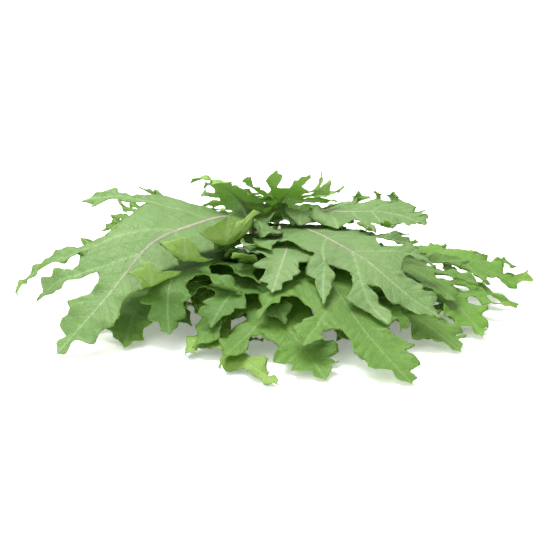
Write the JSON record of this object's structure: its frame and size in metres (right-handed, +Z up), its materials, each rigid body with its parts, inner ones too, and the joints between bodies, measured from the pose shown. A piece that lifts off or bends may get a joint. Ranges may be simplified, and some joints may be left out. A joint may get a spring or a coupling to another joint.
{
  "type": "kale bunch",
  "caption": "Bunch of lobed kale lying on a surface: leaves fan out from stalks held by an elastic band, with curled lobes and tips resting all round.",
  "frame": {"origin": "centre of the bunch's outline on the surface that it lies on", "axes": "+Z up, -Y towards the leaf tips at the front, +Y towards the tied stalks at the back, +X to the right of the front view"},
  "size_m": [0.3779, 0.3444, 0.1034],
  "materials": {
    "leaf": "matt waxy green leaf, paler and yellower underneath, with pink to purple midribs and stalks",
    "band": "plain tan elastic band"
  },
  "bodies": {
    "root": {"leaf_01": "leaf", "leaf_02": "leaf", "leaf_03": "leaf", "leaf_04": "leaf", "leaf_05": "leaf", "leaf_06": "leaf", "leaf_07": "leaf", "leaf_08": "leaf", "leaf_09": "leaf", "leaf_10": "leaf", "leaf_11": "leaf", "leaf_12": "leaf", "leaf_13": "leaf", "leaf_14": "leaf", "leaf_15": "leaf", "leaf_16": "leaf", "leaf_17": "leaf", "leaf_18": "leaf", "tie": "band"}
  },
  "joints": []
}
